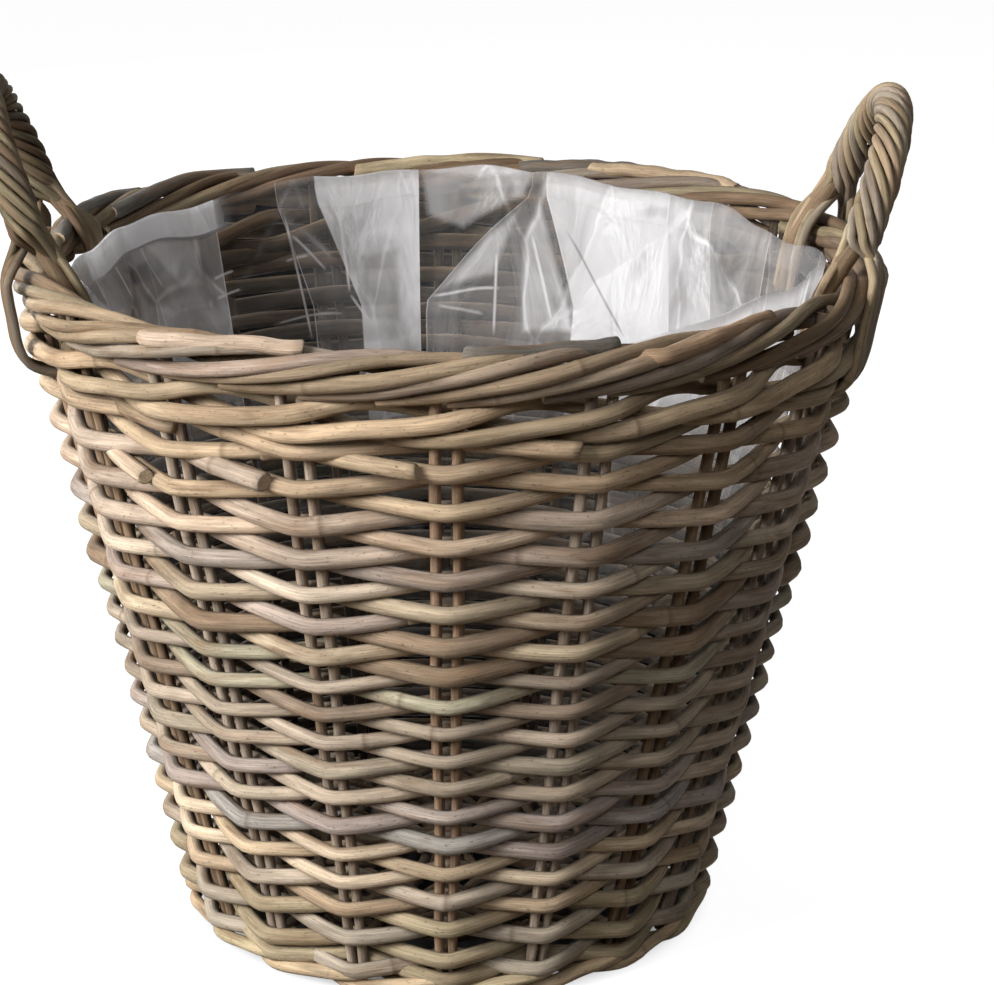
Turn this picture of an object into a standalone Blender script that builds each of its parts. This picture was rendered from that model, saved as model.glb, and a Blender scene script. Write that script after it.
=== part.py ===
"""Round tapered rattan log basket with two twisted loop handles and a clear liner.

Metres, +Z up. The origin is the middle of the foot. The handles are on +X and -X and the front faces -Y.
Angles run round the basket from the front towards +X.
"""
import math

import bmesh
import bpy
from mathutils import Vector

# Wall
STAKE_PAIRS = 18            # upright pairs round the wall
FOOT_RADIUS = 0.130         # middle of the stakes at the ground
RIM_RADIUS = 0.213          # middle of the stakes at the border
BORDER_HEIGHT = 0.3555      # middle of the border above the ground
CLEARANCE = 0.0003          # gap between rods that bear on each other

# Rods
STAKE_DIAMETER = 0.005
STAKE_SPACING = 0.0095      # between the two rods of a pair
WEAVER_SIZE = 0.0078
ROW_PITCH = 0.00872         # between neighbouring rows, along the wall's slope
CANES_PER_FAMILY = 5        # lengths of weaver joined end to end, in each of two families
CANE_JOINT_GAP = 0.0006
START_STAKE = 5             # the first cane of a family starts behind this stake
WALE_SIZE = 0.0072
WALE_HALF_SPREAD = 0.0052   # the two outer wale rods sit this far above and below the middle
WALE_LAY = 0.97             # between stakes the outer wale rod stands off by this share of its size
WALE_LIFT = 0.89            # and the two inner ones sit above and below by this share
WALE_DROP = 0.0302          # from the border's middle down to the middle of the upper wale
FOOT_WALE_HEIGHT = 0.0135   # middle of the lower wale
BORDER_ROD_RADIUS = 0.0046
BORDER_LAY_RADIUS = 0.0056  # from the border's middle to the middle of each rod
BORDER_TWISTS = 6           # whole twists of the border rods in one round
POINTS_PER_TWIST = 9

# Base
STICK_DIAMETER = 0.006
STICK_TIP_DIAMETER = 0.0036
STICK_SPACING = 0.0066      # between neighbouring sticks where they cross
STICK_TAPER_LENGTH = 0.016
CROSS_HALF = 0.018          # half the square where the two layers of sticks cross
FAN_RADIUS = 0.045          # from here out the sticks lie on radial lines
LONG_STICKS = 5             # front to back, the lower layer
CROSS_STICKS = 4            # side to side, the upper layer
BASE_WEAVER_SIZE = 0.005
BASE_ROW_PITCH = 0.0058
BASE_WEAVE_START = 0.058    # radius of the first row
BASE_WEAVE_MARGIN = 0.006   # from the last row to the foot wale

# Handles
HANDLE_FOOT_STEPS = 1       # a handle's feet are this many stake steps to each side of its middle
HANDLE_RISE = 0.0665        # from the feet to the top of the bow, upright
HANDLE_REACH = 0.0245       # how far the top leans out past the feet
BOW_RADIUS = 0.006
BOW_POINTS = 20
WRAP_COUNT = 4
WRAP_SIZE = 0.0056
WRAP_TURNS = 2
WRAP_POINTS = 32
FEET_LIFT = 0.0048          # from the border's top up to the feet of the wraps
# Ways down past the border, in shares of the least distances out from and under its middle
HOOK_ROUTE = [(1, 0.15), (1, -0.47), (0.55, -1), (0, -1)]
INNER_ROUTE = [(-1, 0.85), (-1, 0.1), (-1, -0.66)]

# Liner
LINER_THICKNESS = 0.001
LINER_WALL_GAP = 0.0135     # from the middle of the stakes to the film
LINER_TOP_DROP = 0.0155     # from the border's middle down to the film's edge
LINER_SEGMENTS = 36

STEP = 2 * math.pi / STAKE_PAIRS
WALE_HEIGHT = BORDER_HEIGHT - WALE_DROP
HANDLE_FOOT_ANGLE = HANDLE_FOOT_STEPS * STEP
BORDER_REACH = BORDER_LAY_RADIUS + BORDER_ROD_RADIUS
LEAN = math.atan((RIM_RADIUS - FOOT_RADIUS) / BORDER_HEIGHT)
UP = Vector((0, 0, 1))

# Sections of a rod, as points round a unit circle or a unit square
SQUARE = [(1, 1), (-1, 1), (-1, -1), (1, -1)]


def polygon(sides):
    """Corners of a regular polygon with a flat side at the bottom."""
    start = -math.pi / 2 + math.pi / sides
    return [(math.cos(start + 2 * math.pi * i / sides), math.sin(start + 2 * math.pi * i / sides))
            for i in range(sides)]


HEXAGON = polygon(6)
PENTAGON = polygon(5)


def radial(angle):
    return Vector((math.sin(angle), -math.cos(angle), 0))


def tangent(angle):
    return Vector((math.cos(angle), math.sin(angle), 0))


def stake_radius(height):
    """Middle of the stakes at a height above the ground."""
    return FOOT_RADIUS + height * math.tan(LEAN)


def wall_axes(angle):
    """Outward normal of the sloped wall and the way up its slope."""
    out = radial(angle)
    normal = out * math.cos(LEAN) - UP * math.sin(LEAN)
    slope = out * math.sin(LEAN) + UP * math.cos(LEAN)
    return normal, slope


def wall_point(angle, rise, offset=0.0):
    """A point at a distance up the slope, offset outwards from the middle of the stakes."""
    normal, slope = wall_axes(angle)
    return radial(angle) * FOOT_RADIUS + slope * rise + normal * offset


def wave_offsets(radius, half_size, turn, inner=None):
    """How far a rod bends outwards and inwards to clear both stakes of each pair it passes.

    The rod runs straight on to its next bend, a turn away. That bend is on the other side of the
    next stakes, or at a given distance inside them.
    """
    side = STAKE_SPACING / 2
    bearing = STAKE_DIAMETER / 2 + CLEARANCE
    front = back = half_size + bearing
    for _ in range(30):
        low = radius - (back if inner is None else inner)
        high = radius + (front if inner is None else -inner)
        drop = (radius + front - low * math.cos(turn)) / (low * math.sin(turn))
        rise = (high * math.cos(turn) - radius + back) / (high * math.sin(turn))
        front = half_size + side * drop + bearing * math.hypot(1, drop)
        back = half_size + side * max(rise, 0) + bearing * math.hypot(1, rise)
    return front, back


def wale_offsets(height):
    """How far a wale rod bends outwards and inwards at the stakes."""
    return wave_offsets(stake_radius(height), WALE_SIZE / 2, STEP / 2, WALE_SIZE * WALE_LAY / 2)


def base_height():
    """Middle of the base: its sticks lie on the inner rod of the foot wale."""
    _, back = wale_offsets(FOOT_WALE_HEIGHT)
    half = WALE_SIZE / 2
    wale_top = FOOT_WALE_HEIGHT + half * math.cos(LEAN) + (back + half) * math.sin(LEAN)
    return wale_top + CLEARANCE + STICK_DIAMETER / 2


# Mesh helpers
def cane_material(name, shade, green=0.0):
    """Grey-brown rattan. Shade runs from 0, dark, to 1, pale."""
    colour = (0.20 + 0.26 * shade, 0.145 + 0.195 * shade + 0.02 * green, 0.09 + 0.135 * shade)
    return plain_material(name, colour, 0.62)


def plain_material(name, colour, roughness, alpha=1.0):
    material = bpy.data.materials.new(name)
    material.use_nodes = True
    shader = material.node_tree.nodes["Principled BSDF"]
    shader.inputs["Base Color"].default_value = (*colour, 1)
    shader.inputs["Roughness"].default_value = roughness
    shader.inputs["Metallic"].default_value = 0.0
    shader.inputs["Alpha"].default_value = alpha
    return material


def rod_mesh(name, rings, closed=False):
    """Skin over rings of corners, with flat ends or joined into a loop."""
    bm = bmesh.new()
    loops = [[bm.verts.new(corner) for corner in ring] for ring in rings]
    pairs = list(zip(loops, loops[1:]))
    if closed:
        pairs.append((loops[-1], loops[0]))
    for near, far in pairs:
        for i in range(len(near)):
            j = (i + 1) % len(near)
            bm.faces.new((near[i], near[j], far[j], far[i]))
    if not closed:
        bm.faces.new(list(reversed(loops[0])))
        bm.faces.new(loops[-1])
    return finish_mesh(name, bm)


def finish_mesh(name, bm):
    bmesh.ops.recalc_face_normals(bm, faces=bm.faces)
    mesh = bpy.data.meshes.new(name)
    bm.to_mesh(mesh)
    bm.free()
    mesh.shade_smooth()
    mesh.set_sharp_from_angle(angle=math.radians(75))
    return mesh


def add_piece(name, mesh, material, parent, turn=0.0):
    """One piece of the basket, turned about the upright axis. Copies may share a mesh."""
    piece = bpy.data.objects.new(name, mesh)
    bpy.context.scene.collection.objects.link(piece)
    piece.parent = parent
    piece.rotation_euler.z = turn
    if not mesh.materials:
        mesh.materials.append(None)
    piece.material_slots[0].link = "OBJECT"
    piece.material_slots[0].material = material
    return piece


def add_group(name, parent=None, turn=0.0):
    group = bpy.data.objects.new(name, None)
    bpy.context.scene.collection.objects.link(group)
    group.parent = parent
    group.rotation_euler.z = turn
    return group


def swept_rings(points, sides, section, sizes):
    """Rings square to a path. Sides gives each ring's sideways direction, sizes its half width."""
    rings = []
    for i, point in enumerate(points):
        ahead = points[min(i + 1, len(points) - 1)]
        behind = points[max(i - 1, 0)]
        along = (ahead - behind).normalized()
        over = along.cross(sides[i]).normalized()
        side = over.cross(along)
        rings.append([point + side * (u * sizes[i]) + over * (v * sizes[i]) for u, v in section])
    return rings


def wall_ring(angle, rise, offset, half_size):
    """Square section of a rod that lies along the wall, set in the upright plane at an angle."""
    normal, slope = wall_axes(angle)
    middle = wall_point(angle, rise, offset)
    return [middle + normal * (u * half_size) + slope * (v * half_size) for u, v in SQUARE]


# Wall pieces
def stake_mesh():
    """A rod folded into a hairpin: two uprights up the slope and a flat-bottomed bend on the ground."""
    half = STAKE_SPACING / 2
    radius = STAKE_DIAMETER / 2
    flat = radius * math.cos(math.pi / 6)
    bend_height = (half + flat) * math.sin(math.pi / 3)
    bend_radius = stake_radius(bend_height)
    border_bottom = BORDER_LAY_RADIUS + BORDER_ROD_RADIUS * math.cos(math.pi / len(PENTAGON))
    top_height = BORDER_HEIGHT - border_bottom - CLEARANCE - radius * math.sin(LEAN)
    bend = [math.pi, math.pi * 4 / 3, math.pi * 5 / 3, math.pi * 2]
    path = [(-half, top_height)]
    path += [(half * math.cos(a), bend_height + half * math.sin(a)) for a in bend]
    path += [(half, top_height)]
    points = [radial(0) * stake_radius(max(z, bend_height)) + tangent(0) * x + UP * z for x, z in path]
    out = [radial(0)] * len(points)
    return rod_mesh("stake", swept_rings(points, out, HEXAGON, [radius] * len(points)))


def weave_range():
    """Slope distances of the first row, above the base sticks, and of the last, under the wale."""
    half = WEAVER_SIZE / 2
    stick_top = base_height() + STICK_DIAMETER / 2 + CLEARANCE
    wale = max(WALE_HALF_SPREAD, WALE_SIZE * WALE_LIFT) + WALE_SIZE / 2
    return stick_top / math.cos(LEAN) + half, WALE_HEIGHT / math.cos(LEAN) - wale - half - CLEARANCE


def cane_steps():
    """Stakes passed by one cane: an even number, so that every joint is behind a stake."""
    first, last = weave_range()
    steps = (last - first) / (2 * ROW_PITCH) * STAKE_PAIRS / CANES_PER_FAMILY
    return 2 * int(steps / 2)


def cane_mesh(number):
    """One length of a weaver that spirals up the wall, behind odd stakes and in front of even ones."""
    first, _ = weave_range()
    steps = cane_steps()
    half_size = WEAVER_SIZE / 2
    rings = []
    for step in range(number * steps, (number + 1) * steps + 1):
        rise = first + step * 2 * ROW_PITCH / STAKE_PAIRS
        radius = stake_radius(rise * math.cos(LEAN))
        front, back = wave_offsets(radius, half_size, STEP)
        offset = front if step % 2 else -back
        angle = (START_STAKE + step) * STEP
        if step == number * steps:
            angle += CANE_JOINT_GAP / 2 / radius
        if step == (number + 1) * steps:
            angle -= CANE_JOINT_GAP / 2 / radius
        rings.append(wall_ring(angle, rise, offset, half_size))
    return rod_mesh("cane_%d" % (number + 1), rings)


def wale_mesh(name, height):
    """A rod of a three-rod wale: in front of two stakes, low then high, and behind the third."""
    rise = height / math.cos(LEAN)
    half_size = WALE_SIZE / 2
    front, back = wale_offsets(height)
    spread = WALE_HALF_SPREAD
    lay = WALE_SIZE * WALE_LAY
    at_stake = [(front, -spread), (front, spread), (-back, 0)]
    lift = WALE_SIZE * WALE_LIFT
    past_stake = [(lay, 0), (-lay / 2, lift), (-lay / 2, -lift)]
    rings = []
    for stake in range(STAKE_PAIRS):
        offset, lift = at_stake[stake % 3]
        rings.append(wall_ring(stake * STEP, rise + lift, offset, half_size))
        offset, lift = past_stake[stake % 3]
        rings.append(wall_ring((stake + 0.5) * STEP, rise + lift, offset, half_size))
    return rod_mesh(name, rings, closed=True)


def border_mesh():
    """A rod of the border, twisting round the rim and lowest at a stake. At the front it rises towards +X."""
    count = BORDER_TWISTS * POINTS_PER_TWIST
    rings = []
    for i in range(count):
        angle = 2 * math.pi * i / count
        twist = BORDER_TWISTS * angle - math.pi / 2
        reach = RIM_RADIUS + BORDER_LAY_RADIUS * math.cos(twist)
        middle = radial(angle) * reach + UP * (BORDER_HEIGHT + BORDER_LAY_RADIUS * math.sin(twist))
        rings.append([middle + (radial(angle) * u + UP * v) * BORDER_ROD_RADIUS for u, v in PENTAGON])
    return rod_mesh("border_rod", rings, closed=True)


# Base pieces
def stick_mesh(name, lateral, angle, lift, turn):
    """A base stick that crosses the middle at one level and fans out to a stake pair at each end."""
    tip = stake_radius(base_height()) + STAKE_DIAMETER / 2
    shoulder = tip - STICK_TAPER_LENGTH
    full = STICK_DIAMETER / 2
    half_path = [(radial(angle) * tip + UP * base_height(), STICK_TIP_DIAMETER / 2),
                 (radial(angle) * shoulder + UP * base_height(), full),
                 (radial(angle) * FAN_RADIUS + UP * base_height(), full),
                 (Vector((lateral, -CROSS_HALF, base_height() + lift)), full)]
    far_half = [(Vector((p.x, -p.y, p.z)), size) for p, size in reversed(half_path)]
    path = half_path + far_half
    spin = Vector((math.cos(turn), math.sin(turn), 0))
    cross = Vector((-spin.y, spin.x, 0))
    points = [spin * p.x + cross * p.y + UP * p.z for p, _ in path]
    sides = [spin] * len(points)
    return rod_mesh(name, swept_rings(points, sides, HEXAGON, [size for _, size in path]))


def base_wave(radius):
    """How far a base weaver bends up and down to clear the sticks at a radius."""
    bearing = STICK_DIAMETER / 2 + CLEARANCE
    wave = BASE_WEAVER_SIZE / 2 + bearing
    for _ in range(20):
        wave = BASE_WEAVER_SIZE / 2 + bearing * math.hypot(1, 2 * wave / (radius * STEP))
    return wave


def base_weaver_mesh():
    """A thin weaver that spirals out from the crossing, over one stick and under the next."""
    half_size = BASE_WEAVER_SIZE / 2
    _, wale_back = wale_offsets(FOOT_WALE_HEIGHT)
    last = stake_radius(FOOT_WALE_HEIGHT) - wale_back - WALE_SIZE / 2 - BASE_WEAVE_MARGIN
    steps = int((last - BASE_WEAVE_START) / (2 * BASE_ROW_PITCH) * STAKE_PAIRS)
    rings = []
    for step in range(steps + 1):
        radius = BASE_WEAVE_START + step * 2 * BASE_ROW_PITCH / STAKE_PAIRS
        wave = base_wave(radius)
        angle = step * STEP
        middle = radial(angle) * radius + UP * (base_height() + (wave if step % 2 else -wave))
        rings.append([middle + (radial(angle) * u + UP * v) * half_size for u, v in SQUARE])
    return rod_mesh("base_weaver", rings)


def liner_mesh():
    """The film bag: an open cup of even thickness that stands on the base and leans on the wall."""
    bottom = base_height() + base_wave(BASE_WEAVE_START) + BASE_WEAVER_SIZE / 2 + CLEARANCE
    top = BORDER_HEIGHT - LINER_TOP_DROP
    bm = bmesh.new()
    loops = []
    outer = [(bottom, 0.0), (top, 0.0)]
    inner = [(top, LINER_THICKNESS), (bottom + LINER_THICKNESS, LINER_THICKNESS)]
    for height, inset in outer + inner:
        reach = stake_radius(height) - LINER_WALL_GAP - inset
        angles = [2 * math.pi * i / LINER_SEGMENTS for i in range(LINER_SEGMENTS)]
        loops.append([bm.verts.new(radial(a) * reach + UP * height) for a in angles])
    for near, far in zip(loops, loops[1:]):
        for i in range(LINER_SEGMENTS):
            j = (i + 1) % LINER_SEGMENTS
            bm.faces.new((near[i], near[j], far[j], far[i]))
    bm.faces.new(loops[0])
    bm.faces.new(loops[-1])
    return finish_mesh("liner", bm)


# Handle pieces
def bow_frame(u):
    """Middle of a handle's bow, its direction and the way up from its feet. U runs from 0 to pi."""
    half_span = RIM_RADIUS * math.sin(HANDLE_FOOT_ANGLE)
    base = Vector((RIM_RADIUS * math.cos(HANDLE_FOOT_ANGLE), 0, BORDER_HEIGHT + BORDER_REACH + FEET_LIFT))
    rise = Vector((HANDLE_REACH, 0, HANDLE_RISE))
    middle = base - Vector((0, half_span * math.cos(u), 0)) + rise * math.sin(u)
    along = Vector((0, half_span * math.sin(u), 0)) + rise * math.cos(u)
    return middle, along.normalized(), rise.normalized()


def bow_normal():
    """Square to the plane of the bow, pointing away from the basket."""
    return Vector((HANDLE_RISE, 0, -HANDLE_REACH)).normalized()


def bow_mesh():
    points = []
    for i in range(BOW_POINTS + 1):
        middle, _, _ = bow_frame(math.pi * i / BOW_POINTS)
        points.append(middle)
    _, _, rise = bow_frame(0)
    tail = rise * (FEET_LIFT * rise.z - 2 * CLEARANCE)
    points = [points[0] - tail] + points + [points[-1] - tail]
    sides = [bow_normal()] * len(points)
    return rod_mesh("bow", swept_rings(points, sides, HEXAGON, [BOW_RADIUS] * len(points)))


def wrap_tail(outside, foot_angle):
    """Points of a strand past the bow's foot: down one side of the border, the outer one hooked under it."""
    half = WRAP_SIZE / 2
    near = BORDER_LAY_RADIUS * math.cos(math.pi / 6) + BORDER_ROD_RADIUS + half + 2 * CLEARANCE
    under = BORDER_REACH + half + 2 * CLEARANCE
    route = HOOK_ROUTE if outside else INNER_ROUTE
    middle = radial(foot_angle) * RIM_RADIUS + UP * BORDER_HEIGHT
    return [middle + radial(foot_angle) * (near * out) + UP * (under * lift) for out, lift in route]


def wrap_mesh(number):
    """A strand wound left-handed round the bow. The first and third run on past the border at each foot."""
    ring = BOW_RADIUS + CLEARANCE + WRAP_SIZE / 2
    phase = 2 * math.pi * number / WRAP_COUNT
    normal = bow_normal()
    points = []
    sides = []
    for i in range(WRAP_POINTS + 1):
        u = math.pi * i / WRAP_POINTS
        middle, along, _ = bow_frame(u)
        across = along.cross(normal)
        lay = phase - 2 * math.pi * WRAP_TURNS * i / WRAP_POINTS
        points.append(middle + (normal * math.cos(lay) + across * math.sin(lay)) * ring)
        sides.append(across * math.cos(lay) - normal * math.sin(lay))
    if number % 2 == 0:
        front = math.pi / 2 - HANDLE_FOOT_ANGLE
        rear = math.pi / 2 + HANDLE_FOOT_ANGLE
        first = wrap_tail(number == 0, front)
        last = wrap_tail(number == 0, rear)
        flip = 1 if number == 0 else -1
        points = first[::-1] + points + last
        sides = [-tangent(front) * flip] * len(first) + sides + [tangent(rear) * flip] * len(last)
    rings = swept_rings(points, sides, SQUARE[::-1], [WRAP_SIZE / 2] * len(points))
    return rod_mesh("wrap_%d" % (number + 1), rings)


# Assembly
def shade_of(index):
    """An uneven but fixed spread of pale and dark rods."""
    return 0.5 + 0.5 * math.sin(index * 2.4)


def build_wall(parent):
    group = add_group("wall", parent)
    stake = stake_mesh()
    for i in range(STAKE_PAIRS):
        name = "stake_pair_%02d" % (i + 1)
        add_piece(name, stake, cane_material(name, 0.3 * shade_of(i)), group, i * STEP)
    for number in range(CANES_PER_FAMILY):
        cane = cane_mesh(number)
        for family, turn in (("a", 0.0), ("b", math.pi)):
            name = "weaver_%s%d" % (family, number + 1)
            shade = shade_of(number + 5 * (family == "b"))
            add_piece(name, cane, cane_material(name, shade, green=shade_of(number)), group, turn)
    for label, height in (("wale", WALE_HEIGHT), ("foot_wale", FOOT_WALE_HEIGHT)):
        rod = wale_mesh(label, height)
        for i in range(3):
            name = "%s_rod_%d" % (label, i + 1)
            add_piece(name, rod, cane_material(name, 0.5 + 0.4 * shade_of(i)), group, i * STEP)
    border = border_mesh()
    for i in range(3):
        name = "border_rod_%d" % (i + 1)
        turn = i * 2 * math.pi / (3 * BORDER_TWISTS)
        add_piece(name, border, cane_material(name, 0.4 + 0.5 * shade_of(i + 1)), group, turn)


def build_base(parent):
    group = add_group("base", parent)
    layer = (STICK_DIAMETER / 2 + CLEARANCE / 2)
    for i in range(LONG_STICKS):
        place = i - (LONG_STICKS - 1) / 2
        name = "base_stick_long_%d" % (i + 1)
        mesh = stick_mesh(name, place * STICK_SPACING, place * STEP, -layer, 0.0)
        add_piece(name, mesh, cane_material(name, 0.4 * shade_of(i)), group)
    for i in range(CROSS_STICKS):
        place = i - (CROSS_STICKS - 1) / 2
        name = "base_stick_cross_%d" % (i + 1)
        mesh = stick_mesh(name, place * STICK_SPACING, place * STEP, layer, math.pi / 2)
        add_piece(name, mesh, cane_material(name, 0.4 * shade_of(i + 3)), group)
    weaver = base_weaver_mesh()
    for i in range(2):
        name = "base_weaver_%d" % (i + 1)
        add_piece(name, weaver, cane_material(name, 0.6 * shade_of(i)), group, i * math.pi)
    add_piece("liner_bag", liner_mesh(), plain_material("liner_bag", (0.86, 0.87, 0.88), 0.12, 0.3), group)


def build_handles(parent):
    bow = bow_mesh()
    wraps = [wrap_mesh(number) for number in range(WRAP_COUNT)]
    for label, turn in (("handle_right", 0.0), ("handle_left", math.pi)):
        group = add_group(label, parent, turn)
        add_piece(label + "_bow", bow, cane_material(label + "_bow", 0.2), group)
        for number, wrap in enumerate(wraps):
            name = "%s_wrap_%d" % (label, number + 1)
            add_piece(name, wrap, cane_material(name, 0.2 + 0.5 * shade_of(number), green=0.5), group)


def main():
    for old in list(bpy.data.objects):
        bpy.data.objects.remove(old, do_unlink=True)
    basket = add_group("log_basket")
    build_wall(basket)
    build_base(basket)
    build_handles(basket)


main()
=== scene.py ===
"""Looks of the wicker log basket: round rattan rods, a rolled border, twisted handles and a film liner.

Metres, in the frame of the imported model. Angles run round the basket from the front, -Y, towards +X.
"""

import math
import zlib

import bpy
import numpy as np
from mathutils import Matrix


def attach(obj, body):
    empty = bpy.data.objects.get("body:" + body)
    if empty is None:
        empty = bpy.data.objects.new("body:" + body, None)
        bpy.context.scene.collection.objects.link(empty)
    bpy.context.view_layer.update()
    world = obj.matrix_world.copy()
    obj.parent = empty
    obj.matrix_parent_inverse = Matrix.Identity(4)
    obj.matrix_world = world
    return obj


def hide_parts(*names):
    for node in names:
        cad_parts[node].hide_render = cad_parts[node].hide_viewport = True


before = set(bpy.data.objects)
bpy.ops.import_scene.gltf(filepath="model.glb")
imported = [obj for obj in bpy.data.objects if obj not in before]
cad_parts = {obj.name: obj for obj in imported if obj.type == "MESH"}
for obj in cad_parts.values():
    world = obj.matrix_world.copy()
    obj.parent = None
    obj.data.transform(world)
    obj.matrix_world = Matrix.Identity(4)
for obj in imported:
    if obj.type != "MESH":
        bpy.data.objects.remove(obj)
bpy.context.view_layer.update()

# Sizes shared with the solids
STAKE_PAIRS = 18
STEP = 2 * math.pi / STAKE_PAIRS
FOOT_RADIUS = 0.130         # middle of the stakes at the ground
RIM_RADIUS = 0.213          # middle of the stakes at the border
BORDER_HEIGHT = 0.3555
STAKE_SPACING = 0.0106      # between the two rods of a pair, high on the wall
FOOT_STAKE_SPACING = 0.0064
START_STAKE = 5             # the first cane of a family starts behind this stake
CANES_PER_FAMILY = 5
CANE_STEPS = 58             # stakes passed by one cane
WEAVE_START = 0.0307        # slope distance of the first row
ROW_PITCH = 0.00872         # between neighbouring rows, along the slope
WALE_HEIGHT = 0.3262
FOOT_WALE_HEIGHT = 0.0094
BASE_HEIGHT = 0.0228        # middle of the base sticks
HANDLE_FEET_HEIGHT = 0.3705

# Rods
STAKE_RADIUS = 0.0029
PAINTED_INNER_SHADE = 0.87          # the inside of the wall is written darker: painted shade for the inside of the basket
WEAVER_RADIUS = 0.0039      # of the lowest weavers
WEAVER_RADIUS_SPREAD = 0.0003
LOW_PALER = 1.12            # the lowest weavers are written paler
WEATHERED = (0.90, 0.985, 1.13)  # what weather does to the colour of a weaver
WEATHERED_SHARE = (0.15, 1.0, 1.0, 0.6, 0.0)  # how far it has gone, from the lowest canes to the topmost
THICKER_TOP = 0.0005        # added to the radius of the topmost weavers
WEAVER_FRONT = 0.0078       # how far a weaver stands out in front of a stake pair
WEAVER_BACK = 0.0070        # and in behind one
WEAVER_DIP = 0.0013         # how far a weaver is beaten down in front of a stake pair
BEND_SHARPNESS = 0.993      # towards 1 a weaver runs straighter from stake to stake
TOP_ROW_SPREAD = 0.0090     # rise added to the topmost row, which is beaten down less
LOW_ROW_LIFT = 0.0045
SHORT_ROD_STEPS = 12        # shortest and longest rods of a cane, in stakes passed
LONG_ROD_STEPS = 26
TOP_BREAKS = {"a": [262, 282], "b": [272, 292]}  # stakes passed where the rods of the topmost canes change
END_PAST_STAKE = 0.12       # a rod ends this share of a step past a stake, behind
LOOSE_END = 0.88            # the topmost rods end here, in front
LOOSE_END_LIFT = 0.0040
START_BEFORE_STAKE = 0.30   # the next rod starts here, behind it
EXTRA_STEPS = 27            # stakes passed below the first row, to fill the wall down to the foot
LOWEST_ROW = 0.0158         # slope distance of the rows there
TOP_STEPS = 9               # stakes passed above the last row, to fill the wall up to the wale
HIGHEST_ROW = 0.3212        # slope distance of the rows there
WALE_RADIUS = 0.0046
WALE_HALF_SPREAD = 0.0047
FOOT_WALE_RADIUS = 0.0036
FOOT_WALE_HALF_SPREAD = 0.0034
BORDER_RADIUS = 0.0035
BORDER_LAY = 0.0069         # from the border's middle to the middle of a rod
BORDER_MIDDLE = 0.3515
BORDER_SPAN = math.radians(63)
BORDER_MATE_LAG = STEP / 2  # the second rod of a stake pair follows the first by this much
HANDLE_FEET = (72, 108, 252, 288)  # degrees
LASHED_IN = 0.35            # share by which a handle's lashing pulls the border in
BORDER_START_DROP = 0.0055  # a border rod rises from this much lower, behind the wale
BASE_STICK_RADIUS = 0.0030
BASE_WEAVER_RADIUS = 0.0025
STRANDS = 8                 # strands of a handle
STRAND_RADIUS = 0.00226
STRAND_LAY = 0.0075         # from the middle of a handle to the middle of a strand
STRAND_TURNS = 3.0
BOW_RADIUS = 0.0048
ROD_SIDES = 12
RING_SPACING = 0.0045
KNOT_SPACING = (0.20, 0.45)  # between the joints of the cane

# Film liner
FILM_GAP = 0.0135           # from the middle of the stakes
FILM_TOP = 0.352
HEM_DROP = 0.015            # height of the folded strip
FILM_RADIUS = 0.19          # that lengths round the film are counted at
CREASE_WIDTH = 0.0014
# Its panels from fold to fold, in degrees and mm: angle at the top, how far the fold slants below, how far it
# stands in, then the milkiness up to the next fold
# The milkiness is partly the film's own and partly painted light: the near-opaque panel from 139.5 degrees
# stands in for a sheen
FILM_PANELS = ((0, 0, 2, 0.06), (22, 3, 5, 0.70), (50, -3, 3, 0.75), (76, 2, 5, 0.40), (92, 0, 4, 0.30),
               (110, -3, 7, 0.50), (131, -5, 3, 0.60), (139.5, -4, 6, 0.88), (163, -7, 4, 0.30),
               (165, 19, 9, 0.06), (185, 0, 6, 0.92), (203, -7, 5, 0.12), (210, -5, 4, 0.04),
               (223.5, 0, 8, 0.52), (242, -4, 4, 0.60), (262, -4, 7, 0.50), (290, 0, 3, 0.06),
               (313, 0, 6, 0.05), (337, 0, 3, 0.06))
# Facets of their own milkiness: angle in degrees and height in mm of the corners
FILM_FACETS = ((0.75, ((183, 284), (166, 337), (171, 291))),
               (0.80, ((164, 341), (155, 265), (166, 262), (167, 314))),
               (0.40, ((185, 354), (174, 362), (164, 354), (166, 337), (177, 316), (184, 326))),
               (0.60, ((148, 343), (136, 350), (136, 338), (146, 333))),
               (0.66, ((196, 309), (188, 311), (188, 266), (196, 270))),
               (0.85, ((242, 340), (227, 337), (228, 308), (234, 309))),
               (0.36, ((253, 333), (240, 332), (235, 296), (245, 306))))
# Creases across the panels, drawn as painted highlights: angle and height of both ends, and brightness; the
# last one is dark
FILM_CREASE_GLINTS = ((183, 283, 170, 286, 0.6), (171, 305, 171, 260, 0.7), (182, 278, 173, 271, 0.4),
                (209, 335, 206, 262, 0.6), (208, 322, 202, 300, 0.5), (226, 311, 221, 311, 0.6),
                (226, 300, 220, 300, 0.6), (210, 309, 205, 309, 0.5), (214, 277, 199, 276, 0.35),
                (199, 338, 198, 287, 0.7), (198, 287, 193, 263, 0.6), (187, 335, 186, 300, 0.6),
                (264, 346, 261, 324, 0.7), (255, 340, 251, 315, 0.5), (243, 340, 238, 312, 0.3),
                (165, 318, 160, 270, 0.6), (159, 322, 144, 268, -0.6))

# Stage
FLOOR_GLOW = 0.965          # the floor's white that no shadow dims
FLOOR_SHADE = 0.16          # how much a shadow dims it
FLOOR_BOUNCE = (0.11, 0.092, 0.077, 1)  # its colour to the light that it sends back to the basket
AMBIENT = (0.009, 0.007, 0.006, 1)  # light from all round

# Colours of bare rattan
BEIGE = (0.50, 0.39, 0.275)
TAN = (0.47, 0.35, 0.225)
GREY = (0.42, 0.34, 0.26)
BROWN = (0.33, 0.222, 0.14)
OLIVE = (0.43, 0.345, 0.215)
PINK = (0.48, 0.365, 0.27)
SLATE = (0.15, 0.135, 0.115)
DARK_AND_SHADED_BORDER = (1, 2, 3, 4, 6, 7, 8, 9, 10)  # stake pairs whose border rods are written dark: at the back partly darker cane and partly painted shade, at the front right painted shade where the border turns from the light
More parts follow.
